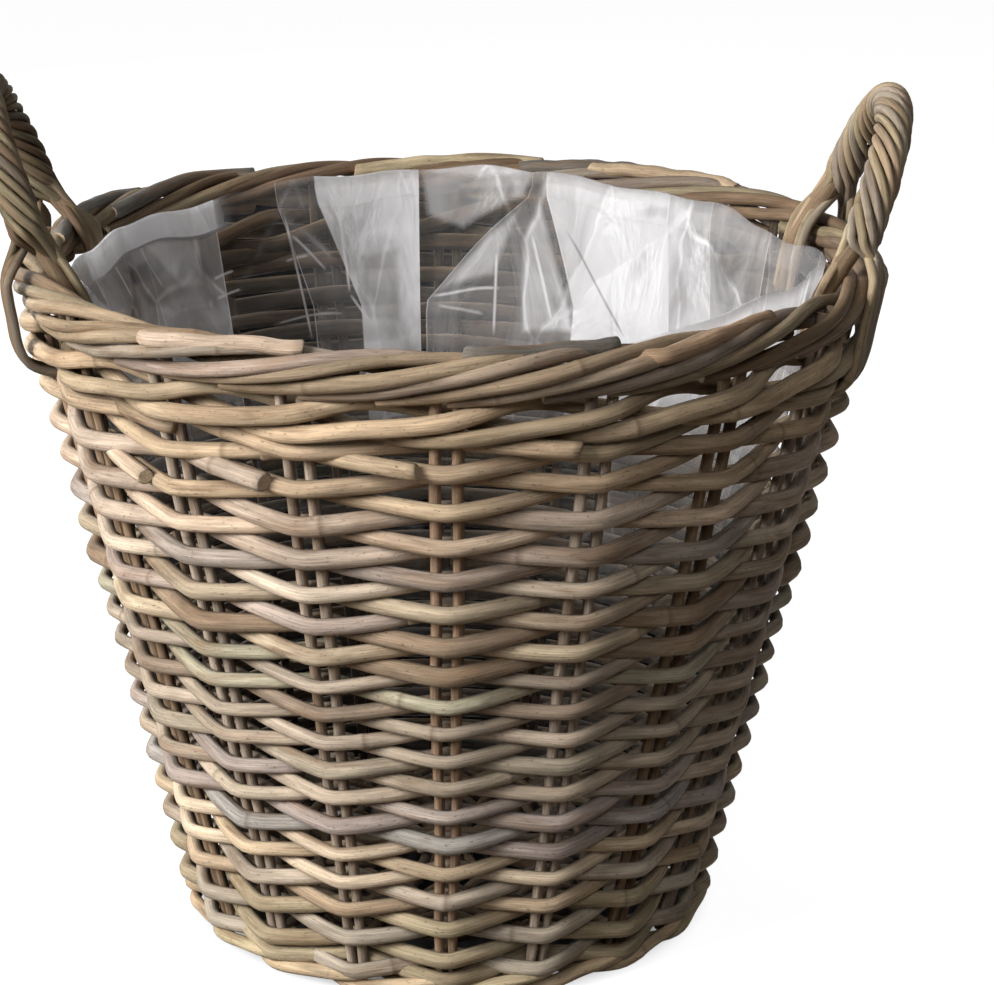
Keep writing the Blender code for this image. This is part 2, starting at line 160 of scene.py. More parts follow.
# Border rods that show their ends on top: start, length and twist at both ends in degrees, and colour
TOP_RODS = ((2, 20, 78, 112, SLATE), (23, 23, 20, 95, BROWN), (131, 26, 60, 110, TAN),
            (148, 20, 75, 130, SLATE), (165, 30, 60, 140, OLIVE), (211, 32, 45, 150, SLATE),
            (232, 30, 45, 140, SLATE), (318, 24, 30, 100, PINK))

LEAN = math.atan((RIM_RADIUS - FOOT_RADIUS) / BORDER_HEIGHT)
UP = np.array((0.0, 0.0, 1.0))


# Geometry of the wall
def unit(vectors):
    return vectors / np.linalg.norm(vectors, axis=-1, keepdims=True)


def radial(angle):
    angle = np.asarray(angle, dtype=float)
    return np.stack([np.sin(angle), -np.cos(angle), np.zeros_like(angle)], -1)


def tangent(angle):
    angle = np.asarray(angle, dtype=float)
    return np.stack([np.cos(angle), np.sin(angle), np.zeros_like(angle)], -1)


def wall_normal(angle):
    return radial(angle) * math.cos(LEAN) - UP * math.sin(LEAN)


def wall_points(angle, rise, offset):
    """Points at distances up the slope, offset outwards from the middle of the stakes."""
    slope = radial(angle) * math.sin(LEAN) + UP * math.cos(LEAN)
    rise = np.broadcast_to(rise, np.shape(angle))
    offset = np.broadcast_to(offset, np.shape(angle))
    return radial(angle) * FOOT_RADIUS + slope * rise[..., None] + wall_normal(angle) * offset[..., None]


def stake_radius(height):
    return FOOT_RADIUS + height * math.tan(LEAN)


def ease(x):
    """Smooth rise from 0 at 0 to 1 at 1."""
    x = np.clip(x, 0, 1)
    return x * x * (3 - 2 * x)


def bump_at(angle, middle, width):
    """1 at a middle angle, falling to 0 a width away, in degrees."""
    away = (np.degrees(angle) - middle + 180) % 360 - 180
    return np.exp(-(away / width) ** 2)


def spline(points, per_segment=14, closed=False):
    """Smooth curve through points."""
    points = np.asarray(points, dtype=float)
    count = len(points)
    if closed:
        padded = np.concatenate([points[-1:], points, points[:2]])
        segments = count
    else:
        padded = np.concatenate([2 * points[:1] - points[1:2], points, 2 * points[-1:] - points[-2:-1]])
        segments = count - 1
    t = np.arange(per_segment)[:, None] / per_segment
    curve = []
    for i in range(segments):
        a, b, c, d = padded[i:i + 4]
        curve.append(0.5 * (2 * b + (c - a) * t + (2 * a - 5 * b + 4 * c - d) * t ** 2
                            + (3 * b - a - 3 * c + d) * t ** 3))
    curve.append(points[:1] if closed else points[-1:])
    return np.concatenate(curve)


def wander(random, along, wave, amount):
    """Slow uneven drift along a rod."""
    drift = 0
    for share in (1.0, 0.61, 0.37):
        length = wave * share * random.uniform(0.8, 1.25)
        drift = drift + share * np.sin(2 * np.pi * along / length + random.uniform(0, 2 * np.pi))
    return amount * drift / 2


class Rods:
    """Rods of one piece, gathered as one mesh: uneven round skins with joints and cut ends."""

    def __init__(self, name):
        self.name = name
        self.random = np.random.RandomState(zlib.crc32(name.encode()))
        self.points = []
        self.corners = []
        self.sizes = []
        self.coords = []
        self.tints = []
        self.knots = []
        self.cuts = []
        self.count = 0

    def tint(self, *colours):
        """One of the colours, a little lighter or darker."""
        colour = np.array(colours[self.random.randint(len(colours))])
        return colour * math.exp(self.random.normal(0, 0.11)) * (1 + self.random.normal(0, 0.012, 3))

    def add(self, path, side, radius, tint, spacing=RING_SPACING, knots=True, painted_inner_shade=0.0):
        """Skin a rod along a path. Side points across the rod, at each point of the path or at all.

        The skin that faces the inside of the basket is darker by the inner shade: painted shade for the
        inside of the basket.
        """
        random = self.random
        path = np.asarray(path, dtype=float)
        side = np.broadcast_to(side, path.shape)
        travel = np.concatenate([[0], np.cumsum(np.linalg.norm(np.diff(path, axis=0), axis=1))])
        length = travel[-1]
        chamfer = 0.0007
        stations = np.linspace(chamfer, length - chamfer, max(int(length / spacing), 3))
        joints = []
        place = random.uniform(0.02, KNOT_SPACING[1])
        while knots and place < length - 0.012:
            joints.append(place)
            place += random.uniform(*KNOT_SPACING)
        around_joint = np.array([-0.004, -0.0022, -0.001, 0.0, 0.001, 0.0022, 0.004])
        extra = [joint + around_joint for joint in joints if joint > 0.012]
        stations = np.sort(np.concatenate([[0, length], stations] + extra))
        keep = np.concatenate([[True], np.diff(stations) > 0.0004])
        stations = stations[keep]
        centre = np.stack([np.interp(stations, travel, path[:, k]) for k in range(3)], 1)
        across = np.stack([np.interp(stations, travel, side[:, k]) for k in range(3)], 1)
        along = unit(np.gradient(centre, axis=0))
        over = unit(np.cross(along, across))
        across = np.cross(over, along)

        size = np.interp(stations, travel, np.broadcast_to(radius, travel.shape))
        size = size * (1 + wander(random, stations, 0.11, 0.035))
        knot = np.zeros_like(stations)
        for joint in joints:
            ridge = np.exp(-((stations - joint) / 0.0013) ** 2)
            swell = np.exp(-((stations - joint) / 0.005) ** 2)
            size = size * (1 + 0.05 * ridge + 0.035 * swell)
            knot = np.maximum(knot, np.exp(-((stations - joint - 0.0012) / 0.0012) ** 2))
        size[0] *= 0.80
        size[-1] *= 0.80

        turn = 2 * np.pi * np.arange(ROD_SIDES) / ROD_SIDES
        oval = 1 + 0.035 * np.cos(2 * turn + random.uniform(0, 2 * np.pi))
        outline = across[:, None] * np.cos(turn)[None, :, None] + over[:, None] * np.sin(turn)[None, :, None]
        skin = centre[:, None] + outline * (size[:, None] * oval)[..., None]
        for ends, lead in ((slice(0, 2), -1), (slice(-2, None), 1)):
            slant = random.uniform(0.0, 0.35) * np.cos(turn + random.uniform(0, 2 * np.pi))
            skin[ends] += along[ends, None] * (lead * size[1] * slant)[None, :, None]

        rings = len(stations)
        index = self.count + np.arange(rings * ROD_SIDES).reshape(rings, ROD_SIDES)
        following = np.roll(index, -1, axis=1)
        quads = np.stack([index[:-1], following[:-1], following[1:], index[1:]], -1).reshape(-1, 4)
        start = random.uniform(0, 40)
        length_coord = start + stations
        round_coord = np.arange(ROD_SIDES + 1) / ROD_SIDES
        low = np.stack(np.broadcast_arrays(length_coord[:-1, None], round_coord[None, :-1]), -1)
        low_next = np.stack(np.broadcast_arrays(length_coord[:-1, None], round_coord[None, 1:]), -1)
        high_next = np.stack(np.broadcast_arrays(length_coord[1:, None], round_coord[None, 1:]), -1)
        high = np.stack(np.broadcast_arrays(length_coord[1:, None], round_coord[None, :-1]), -1)
        self.coords.append(np.stack([low, low_next, high_next, high], 2).reshape(-1, 2))
        self.corners.append(quads.reshape(-1))
        self.sizes += [4] * len(quads)
        tone = 1 + wander(random, stations, 0.22, 0.16)
        outwards = np.sum(outline * unit(centre * np.array((1, 1, 0)) + 1e-9)[:, None], -1)
        # Painted shade: the skin that faces the inside of the basket is darkened
        tone = tone[:, None] * (1 - painted_inner_shade * ease(0.35 - outwards))
        self.extend(skin.reshape(-1, 3), tint * tone.reshape(-1, 1), np.repeat(knot, ROD_SIDES), 0.0)
        face = np.stack([start + 0.5 + 0.5 * np.cos(turn), 0.5 + 0.5 * np.sin(turn)], 1)
        for ring, order in ((0, -1), (rings - 1, 1)):
            cap = self.count + np.arange(ROD_SIDES)
            self.corners.append(cap[::order])
            self.coords.append(face[::order])
            self.sizes.append(ROD_SIDES)
            self.extend(skin[ring], np.tile(tint, (ROD_SIDES, 1)), np.zeros(ROD_SIDES), 1.0)

    def extend(self, points, tint, knot, cut):
        self.points.append(points)
        self.tints.append(np.concatenate([tint, np.ones((len(points), 1))], 1))
        self.knots.append(knot)
        self.cuts.append(np.full(len(points), cut))
        self.count += len(points)

    def build(self, material, slot, *nodes):
        """Make the object, in place of its CAD nodes."""
        mesh = bpy.data.meshes.new(self.name)
        corners = np.concatenate(self.corners)
        sizes = np.array(self.sizes)
        mesh.vertices.add(self.count)
        mesh.vertices.foreach_set("co", np.concatenate(self.points).reshape(-1))
        mesh.loops.add(len(corners))
        mesh.loops.foreach_set("vertex_index", corners)
        mesh.polygons.add(len(sizes))
        mesh.polygons.foreach_set("loop_start", np.concatenate([[0], np.cumsum(sizes)[:-1]]))
        mesh.polygons.foreach_set("use_smooth", sizes == 4)
        mesh.uv_layers.new(name="rod").data.foreach_set("uv", np.concatenate(self.coords).reshape(-1))
        mesh.update(calc_edges=True)
        tint = mesh.color_attributes.new("tint", "FLOAT_COLOR", "POINT")
        tint.data.foreach_set("color", np.concatenate(self.tints).reshape(-1))
        for label, values in (("knot", self.knots), ("cut", self.cuts)):
            mesh.attributes.new(label, "FLOAT", "POINT").data.foreach_set("value", np.concatenate(values))
        mesh.materials.append(material)
        return add_piece(self.name, mesh, nodes)


def add_piece(name, mesh, nodes):
    piece = bpy.data.objects.new(name, mesh)
    bpy.context.scene.collection.objects.link(piece)
    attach(piece, "root")
    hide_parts(*nodes)
    return piece


# Materials
def add_node(tree, kind, settings=None, **inputs):
    """A shader node. An input takes a number, a colour or another node's output."""
    node = tree.nodes.new(kind)
    for key, value in (settings or {}).items():
        setattr(node, key, value)
    for key, value in inputs.items():
        socket = node.inputs[int(key[1:]) if key[0] == "i" and key[1:].isdigit() else key.replace("_", " ")]
        if isinstance(value, bpy.types.NodeSocket):
            tree.links.new(value, socket)
        else:
            socket.default_value = value
    return node


def math_node(tree, operation, *values):
    inputs = {"i%d" % i: value for i, value in enumerate(values)}
    return add_node(tree, "ShaderNodeMath", {"operation": operation}, **inputs).outputs[0]


def spread(tree, value, low, high):
    """A texture's middle range, stretched to run from low to high."""
    return add_node(tree, "ShaderNodeMapRange", None, Value=value, From_Min=0.3, From_Max=0.7,
                    To_Min=low, To_Max=high).outputs[0]


def blend(tree, mode, share, first, second):
    node = add_node(tree, "ShaderNodeMix", {"data_type": "RGBA", "blend_type": mode},
                    i0=share, i6=first, i7=second)
    return node.outputs[2]


def noise(tree, coords, scale, detail, distortion=0.0):
    """Noise with its own scale along each axis."""
    mapped = add_node(tree, "ShaderNodeMapping", None, Vector=coords, Scale=scale).outputs[0]
    return add_node(tree, "ShaderNodeTexNoise", None, Vector=mapped, Scale=1.0, Detail=detail,
                    Roughness=0.6, Distortion=distortion).outputs[0]


def rattan_material(name, roughness, contrast):
    """Bare rattan: long fibres, stains, dark joints and pale porous cut ends, over each rod's own tint."""
    material = bpy.data.materials.new(name)
    material.use_nodes = True
    tree = material.node_tree
    shader = tree.nodes["Principled BSDF"]
    uv = add_node(tree, "ShaderNodeUVMap", {"uv_map": "rod"}).outputs[0]
    split = add_node(tree, "ShaderNodeSeparateXYZ", None, Vector=uv)
    turn = math_node(tree, "MULTIPLY", split.outputs[1], 2 * math.pi)
    half = 0.004
    coords = add_node(tree, "ShaderNodeCombineXYZ", None, X=split.outputs[0],
                      Y=math_node(tree, "MULTIPLY", math_node(tree, "COSINE", turn), half),
                      Z=math_node(tree, "MULTIPLY", math_node(tree, "SINE", turn), half)).outputs[0]
    fibre = noise(tree, coords, (38, 1300, 1300), 4)
    stain = noise(tree, coords, (32, 210, 210), 4, 0.5)
    patch = noise(tree, coords, (14, 90, 90), 3, 0.6)
    weather = noise(tree, coords, (7, 45, 45), 2)
    fleck = noise(tree, coords, (360, 900, 900), 2)

    tint = add_node(tree, "ShaderNodeAttribute", {"attribute_name": "tint"}).outputs["Color"]
    knot = add_node(tree, "ShaderNodeAttribute", {"attribute_name": "knot"}).outputs["Fac"]
    cut = add_node(tree, "ShaderNodeAttribute", {"attribute_name": "cut"}).outputs["Fac"]
    colour = blend(tree, "MIX", spread(tree, weather, 0.0, 0.5), tint,
                   blend(tree, "MULTIPLY", 1.0, tint, (0.90, 0.89, 0.93, 1)))
    brown = add_node(tree, "ShaderNodeMapRange", None, Value=patch, From_Min=0.50, From_Max=0.68,
                     To_Min=0.0, To_Max=2.4 * contrast).outputs[0]
    colour = blend(tree, "MIX", brown, colour, (0.20, 0.12, 0.065, 1))
    tone = math_node(tree, "MULTIPLY", spread(tree, fibre, 1 - 1.3 * contrast, 1 + 0.7 * contrast),
                     spread(tree, stain, 1 - 1.3 * contrast, 1 + 0.8 * contrast))
    grey = add_node(tree, "ShaderNodeCombineXYZ", None, X=tone, Y=tone, Z=tone).outputs[0]
    colour = blend(tree, "MULTIPLY", 1.0, colour, grey)
    speck = add_node(tree, "ShaderNodeMapRange", None, Value=fleck, From_Min=0.62, From_Max=0.74,
                     To_Min=0.0, To_Max=0.7).outputs[0]
    colour = blend(tree, "MIX", speck, colour, (0.09, 0.055, 0.03, 1))
    colour = blend(tree, "MIX", math_node(tree, "MULTIPLY", knot, 0.45), colour, (0.10, 0.06, 0.035, 1))
    pores = add_node(tree, "ShaderNodeTexVoronoi", None, Scale=16.0, Vector=uv).outputs[0]
    end_grain = blend(tree, "MIX", spread(tree, pores, 0.75, 0.0), (0.60, 0.48, 0.34, 1),
                      (0.26, 0.17, 0.10, 1))
    colour = blend(tree, "MIX", cut, colour, end_grain)
    tree.links.new(colour, shader.inputs["Base Color"])
    rough = math_node(tree, "ADD", spread(tree, stain, roughness + 0.12, roughness - 0.08),
                      math_node(tree, "MULTIPLY", cut, 0.2))
    tree.links.new(rough, shader.inputs["Roughness"])
    relief = math_node(tree, "ADD", fibre,
                       math_node(tree, "MULTIPLY", math_node(tree, "ADD", fleck, stain), 0.5))
    bump = add_node(tree, "ShaderNodeBump", None, Strength=0.5, Distance=0.0008, Height=relief)
    tree.links.new(bump.outputs[0], shader.inputs["Normal"])
    shader.inputs["Specular IOR Level"].default_value = 0.1
    return material


def film_place(angle, height):
    """Place on the flattened film of an angle in degrees and a height in mm."""
    return np.array((math.radians(angle) * FILM_RADIUS, height / 1000, 0))


def stroke(tree, place, start, end, width):
    """1 along a straight line on the film, fading to 0 at its ends and at a distance from it."""
    run = end - start
    past = add_node(tree, "ShaderNodeVectorMath", {"operation": "SUBTRACT"}, i0=place,
                    i1=tuple(start)).outputs[0]
    share = add_node(tree, "ShaderNodeVectorMath", {"operation": "DOT_PRODUCT"}, i0=past,
                     i1=tuple(run / run.dot(run))).outputs["Value"]
    share = math_node(tree, "MINIMUM", math_node(tree, "MAXIMUM", share, 0.0), 1.0)
    nearest = add_node(tree, "ShaderNodeVectorMath", {"operation": "SCALE"}, i0=tuple(run),
                       Scale=share).outputs[0]
    away = add_node(tree, "ShaderNodeVectorMath", {"operation": "DISTANCE"}, i0=past,
                    i1=nearest).outputs["Value"]
    line = add_node(tree, "ShaderNodeMapRange", {"interpolation_type": "SMOOTHSTEP"}, Value=away,
                    From_Min=0.0, From_Max=width, To_Min=1.0, To_Max=0.0).outputs[0]
    from_end = math_node(tree, "MULTIPLY", share, math_node(tree, "SUBTRACT", 1.0, share))
    return math_node(tree, "MULTIPLY", line,
                     math_node(tree, "MINIMUM", math_node(tree, "MULTIPLY", from_end, 8.0), 1.0))


def facet_mask(tree, place, corners):
    """1 inside a flat facet of the film, fading to 0 at its edges."""
    corners = [film_place(angle, height) for angle, height in corners]
    middle = sum(corners) / len(corners)
    depth = 1.0
    for first, second in zip(corners, corners[1:] + corners[:1]):
        inward = unit(np.cross(UP, second - first))
        inward = inward * math.copysign(1, inward.dot(middle - first))
        along = add_node(tree, "ShaderNodeVectorMath", {"operation": "DOT_PRODUCT"}, i0=place,
                         i1=tuple(inward))
        depth = math_node(tree, "MINIMUM", depth,
                          math_node(tree, "SUBTRACT", along.outputs["Value"], inward.dot(first)))
    return add_node(tree, "ShaderNodeMapRange", {"interpolation_type": "SMOOTHSTEP"}, Value=depth,
                    From_Min=0.0, From_Max=0.005, To_Min=0.0, To_Max=1.0).outputs[0]


def film_material():
    """Clear polythene: uneven milkiness, facets that catch the light, and pale creases that are painted
    highlights.
    """
    material = bpy.data.materials.new("film")
    material.use_nodes = True
    tree = material.node_tree
    shader = tree.nodes["Principled BSDF"]
    place = add_node(tree, "ShaderNodeUVMap", {"uv_map": "film"}).outputs[0]
    wave = noise(tree, place, (26, 12, 1), 4, 1.2)
    bent = add_node(tree, "ShaderNodeVectorMath", {"operation": "SCALE"}, Scale=0.03, i0=add_node(
        tree, "ShaderNodeTexNoise", None, Vector=place, Scale=20.0, Detail=2.0).outputs["Color"]).outputs[0]
    bent = add_node(tree, "ShaderNodeVectorMath", {"operation": "ADD"}, i0=place, i1=bent).outputs[0]
    bent = add_node(tree, "ShaderNodeMapping", None, Vector=bent, Rotation=(0, 0, 0.3),
                    Scale=(16, 9, 1)).outputs[0]
    cells = add_node(tree, "ShaderNodeTexVoronoi", {"voronoi_dimensions": "2D"}, Vector=bent,
                     Scale=1.0).outputs
    edge = add_node(tree, "ShaderNodeTexVoronoi", {"voronoi_dimensions": "2D", "feature": "DISTANCE_TO_EDGE"},
                    Vector=bent, Scale=1.0).outputs[0]
    facet = add_node(tree, "ShaderNodeSeparateXYZ", None, Vector=cells["Color"]).outputs[0]
    haze = add_node(tree, "ShaderNodeAttribute", {"attribute_name": "haze"}).outputs["Fac"]
    for milk, corners in FILM_FACETS:
        change = math_node(tree, "SUBTRACT", milk, haze)
        haze = math_node(tree, "MULTIPLY_ADD", facet_mask(tree, place, corners), change, haze)
    fold_glint = add_node(tree, "ShaderNodeAttribute", {"attribute_name": "fold_glint"}).outputs["Fac"]
    hem_line = add_node(tree, "ShaderNodeAttribute", {"attribute_name": "hem_line"}).outputs["Fac"]
    # Painted highlights: pale lines along the cell edges, the folds and the creases, whiter and more opaque
    # than the film
    glint_lines = add_node(tree, "ShaderNodeMapRange", None, Value=edge, From_Min=0.0, From_Max=0.03,
                     To_Min=1.0, To_Max=0.0).outputs[0]
    glint_lines = math_node(tree, "MULTIPLY", math_node(tree, "MULTIPLY", glint_lines, spread(tree, wave, 0.0, 0.7)),
                      math_node(tree, "POWER", haze, 0.5))
    glint_lines = math_node(tree, "MAXIMUM", glint_lines, fold_glint)
    dark = hem_line
    for angle, height, next_angle, next_height, bright in FILM_CREASE_GLINTS:
        line = stroke(tree, place, film_place(angle, height), film_place(next_angle, next_height),
                      CREASE_WIDTH)
        mask = math_node(tree, "MULTIPLY", line, abs(bright))
        if bright > 0:
            glint_lines = math_node(tree, "MAXIMUM", glint_lines, mask)
        else:
            dark = math_node(tree, "MAXIMUM", dark, mask)
    uneven = math_node(tree, "MULTIPLY", math_node(tree, "MULTIPLY_ADD", facet, 0.5, 0.75),
                       spread(tree, wave, 0.65, 1.35))
    alpha = math_node(tree, "ADD", math_node(tree, "MULTIPLY", haze, uneven), glint_lines)
    alpha = math_node(tree, "MAXIMUM", alpha, math_node(tree, "MULTIPLY", dark, 0.8))
    colour = blend(tree, "MIX", glint_lines, (0.91, 0.905, 0.92, 1), (0.97, 0.96, 0.96, 1))
    colour = blend(tree, "MIX", dark, colour, (0.16, 0.15, 0.15, 1))
    tree.links.new(colour, shader.inputs["Base Color"])
    tilt = add_node(tree, "ShaderNodeVectorMath", {"operation": "SUBTRACT"}, i0=cells["Color"],
                    i1=(0.5, 0.5, 0.5))
    tilt = add_node(tree, "ShaderNodeVectorMath", {"operation": "SCALE"}, i0=tilt.outputs[0], Scale=0.09)
    ripple = add_node(tree, "ShaderNodeBump", None, Strength=0.6, Distance=0.004, Height=wave).outputs[0]
    tilted = add_node(tree, "ShaderNodeVectorMath", {"operation": "ADD"}, i0=ripple, i1=tilt.outputs[0])
    normal = add_node(tree, "ShaderNodeVectorMath", {"operation": "NORMALIZE"}, i0=tilted.outputs[0])
    tree.links.new(normal.outputs[0], shader.inputs["Normal"])
    shader.inputs["Roughness"].default_value = 0.28
    shader.inputs["Specular IOR Level"].default_value = 0.42
    lit_through = add_node(tree, "ShaderNodeBsdfTranslucent", None, Color=colour).outputs[0]
    body = add_node(tree, "ShaderNodeMixShader", None, i0=0.45, i1=shader.outputs[0],
                    i2=lit_through).outputs[0]
    clear = add_node(tree, "ShaderNodeBsdfTransparent").outputs[0]
    both = add_node(tree, "ShaderNodeMixShader", None, i0=math_node(tree, "MINIMUM", alpha, 0.95), i1=clear,
                    i2=body)
    tree.links.new(both.outputs[0], tree.nodes["Material Output"].inputs["Surface"])
    return material


# Wall
def build_stakes(material):
    """Each pair is one thin rod folded under the foot."""
    foot_half = FOOT_STAKE_SPACING / 2
    top = BORDER_HEIGHT - 0.004
    low = STAKE_RADIUS + foot_half
    for i in range(STAKE_PAIRS):
        rods = Rods("rattan_stake_%02d" % (i + 1))
        random = rods.random
        angle = i * STEP
        bend = np.linspace(math.pi, 2 * math.pi, 13)
        rise = np.linspace(top, low, 60, endpoint=False)
        half = foot_half + (STAKE_SPACING / 2 - foot_half) * ease(rise / 0.24)
        lateral = np.concatenate([-half, foot_half * np.cos(bend), half[::-1]])
        height = np.concatenate([rise, low + foot_half * np.sin(bend), rise[::-1]]) + 0.0012
        lateral = lateral + wander(random, height, 0.16, 0.0007)
        out = stake_radius(np.maximum(height, low)) + wander(random, height, 0.13, 0.0005)
        path = radial(angle) * out[:, None] + tangent(angle) * lateral[:, None] + UP * height[:, None]
        size = np.interp(height, (0, 0.2), (STAKE_RADIUS - 0.0004, STAKE_RADIUS))
        tint = rods.tint(BROWN, GREY, OLIVE, GREY) * 1.08
        rods.add(path, radial(angle), size, tint, painted_inner_shade=PAINTED_INNER_SHADE)
        rods.build(material, "stake", "stake_pair_%02d" % (i + 1))


def row_rise(steps):
    """Slope distance of a weaver after passing a number of stakes: the rows open out towards the top."""
    rise = WEAVE_START + steps * 2 * ROW_PITCH / STAKE_PAIRS
    rise = np.maximum(rise, LOWEST_ROW + 0.15 * (rise - LOWEST_ROW))
    share = rise / (BORDER_HEIGHT / math.cos(LEAN))
    opened = TOP_ROW_SPREAD * np.clip((share - 0.6) / 0.25, 0, 2) ** 2
    lifted = LOW_ROW_LIFT * ease((share - 0.04) / 0.08) * ease((0.6 - share) / 0.35)
    return np.minimum(rise + opened + lifted, HIGHEST_ROW)


def weaver_swing(steps):
    """From -1 behind even steps to 1 in front of odd ones."""
    return -np.arcsin(BEND_SHARPNESS * np.cos(np.pi * steps)) / math.asin(BEND_SHARPNESS)


def weaver_wave(steps):
    """Offset of a weaver from the middle of the stakes."""
    middle = (WEAVER_FRONT - WEAVER_BACK) / 2
    return middle + weaver_swing(steps) * (WEAVER_FRONT + WEAVER_BACK) / 2


def rod_breaks(random, first, last):
    """Stakes behind which a cane changes from one rod to the next."""
    breaks = [first]
    while last - breaks[-1] > LONG_ROD_STEPS:
        breaks.append(breaks[-1] + 2 * random.randint(SHORT_ROD_STEPS // 2, LONG_ROD_STEPS // 2 + 1))
    if last - breaks[-1] < SHORT_ROD_STEPS // 2:
        breaks.pop()
    return breaks + [last]


def build_weavers(material):
    for family, turn in (("a", 0.0), ("b", math.pi)):
        for number in range(CANES_PER_FAMILY):
            node = "weaver_%s%d" % (family, number + 1)
            rods = Rods("rattan_" + node)
            random = rods.random
            first, last = number * CANE_STEPS, (number + 1) * CANE_STEPS
            topmost = number == CANES_PER_FAMILY - 1
            breaks = rod_breaks(random, first, last)
            if topmost:
                breaks = [first] + TOP_BREAKS[family] + [last + TOP_STEPS]
            if number == 0:
                breaks[0] = 1 - EXTRA_STEPS
            for first, last in zip(breaks, breaks[1:]):
                loose = topmost and last != breaks[-1]
                past = LOOSE_END if loose else END_PAST_STAKE
                steps = np.arange(first - START_BEFORE_STAKE, last + past, 1 / 16)
                angle = turn + (START_STAKE + steps) * STEP
                away = ease((steps - last + 0.4) / 0.9)
                length = steps * STEP * 0.17
                rise = row_rise(steps) - WEAVER_DIP * weaver_swing(steps) + loose * LOOSE_END_LIFT * away
                rise = rise + wander(random, length, 0.19, 0.0008)
                shift = 0.007 * away if loose else -0.005 * ease((steps - last + 0.5) / 0.6)
                offset = weaver_wave(steps) + shift + wander(random, length, 0.12, 0.0006)
                path = wall_points(angle, rise, offset)
                size = WEAVER_RADIUS + random.normal(0, WEAVER_RADIUS_SPREAD)
                size = size + THICKER_TOP * (0.3 * number / 4 + 0.7 * ease(number / 2 - 1))
                tint = rods.tint(BEIGE, BEIGE, TAN, TAN, GREY, GREY, PINK, OLIVE, BROWN, TAN)
                tint = tint * (LOW_PALER - (LOW_PALER - 1) * number / 3)
                tint = tint * (1 + WEATHERED_SHARE[number] * (np.array(WEATHERED) - 1))
                rods.add(path, wall_normal(angle), np.clip(size, 0.0030, 0.0047), tint,
                         painted_inner_shade=PAINTED_INNER_SHADE)
            rods.build(material, "weaver", node)


def build_wale(label, height, radius, half_spread, material):
    """Three rods that each pass in front of two stakes and behind the third."""
    rise = height / math.cos(LEAN)
    front = STAKE_RADIUS + radius + 0.0007
    at_stake = [(front, -half_spread), (front, half_spread), (-front, 0.0)]
    lay = 1.9 * radius
    past_stake = [(lay, 0.0), (-lay / 2, 1.7 * half_spread), (-lay / 2, -1.7 * half_spread)]
    for rod in range(3):
        node = "%s_rod_%d" % (label, rod + 1)
        rods = Rods("rattan_" + node)
        random = rods.random
        start = 3 * random.randint(1, 5) + 2
        points = []
        for stake in range(start, start + STAKE_PAIRS + 1):
            offset, lift = at_stake[stake % 3]
            angle = (stake + rod) * STEP
            points.append(wall_points(angle, rise + lift, offset))
            offset, lift = past_stake[stake % 3]
            points.append(wall_points(angle + STEP / 2, rise + lift, offset))
        path = spline(points[:-1])
        path = path[5:-5]
        path = path + UP * wander(random, np.arange(len(path)) * 0.004, 0.2, 0.0006)[:, None]
        side = unit(path * np.array((1, 1, 0)))
        tint = rods.tint(TAN, TAN, TAN, OLIVE) * 1.07
        rods.add(path, side, radius + random.normal(0, 0.0002), tint, painted_inner_shade=PAINTED_INNER_SHADE)
        rods.build(material, "wale", node)


def border_path(random, start, span, low, high):
    """A rod that twists round the border's middle, from one twist to another in degrees."""
    share = np.linspace(0, 1, 110)
    risen = ease(share / 0.16)
    angle = start + share * span
    twist = np.radians(low + (high - low) * (0.45 * share + 0.55 * ease(share)))
    lay = BORDER_LAY + wander(random, share * 0.26, 0.12, 0.0006)
    lashed = sum(bump_at(angle, foot, 8) for foot in HANDLE_FEET)
    out = lay * np.cos(twist) * (0.3 + 0.9 * risen) * (1 - LASHED_IN * lashed)
    lift = lay * np.sin(twist)
    return angle, out, lift, share


def build_border(material):
    """Two rods from each stake pair climb over the outside and roll in over the top; some ends lie on top."""
    for group in range(3):
        node = "border_rod_%d" % (group + 1)
        rods = Rods("rattan_" + node)
        random = rods.random
        for stake, mate in [(stake, mate) for stake in range(group, STAKE_PAIRS, 3) for mate in (0, 1)]:
            start = stake * STEP + mate * BORDER_MATE_LAG + math.radians(random.uniform(0, 4))
            span = BORDER_SPAN + math.radians(random.uniform(-7, 5))
            low = -100 + random.uniform(-12, 12)
            angle, out, lift, share = border_path(random, start, span, low, 215)
            lift = lift - BORDER_START_DROP * (1 - ease(share / 0.28))
            path = radial(angle) * (RIM_RADIUS + out)[:, None] + UP * (BORDER_MIDDLE + lift)[:, None]
            size = BORDER_RADIUS + random.normal(0, 0.00025)
            tint = rods.tint(BEIGE, TAN, GREY, TAN, OLIVE, PINK, BROWN, TAN) * 0.66
            # These border rods are written dark: partly darker cane, partly painted shade
            if stake in DARK_AND_SHADED_BORDER:
                tint = rods.tint(BROWN, BROWN, OLIVE) * 0.54
            rods.add(path, radial(angle), size, tint)
        for start, span, low, high, colour in TOP_RODS[group::3]:
            angle, out, lift, share = border_path(random, math.radians(start), math.radians(span), low, high)
            path = radial(angle) * (RIM_RADIUS + 1.25 * out)[:, None]
            path = path + UP * (BORDER_MIDDLE + 1.25 * lift)[:, None]
            rods.add(path, radial(angle), BORDER_RADIUS + 0.0006, np.array(colour))
        rods.build(material, "border", node)


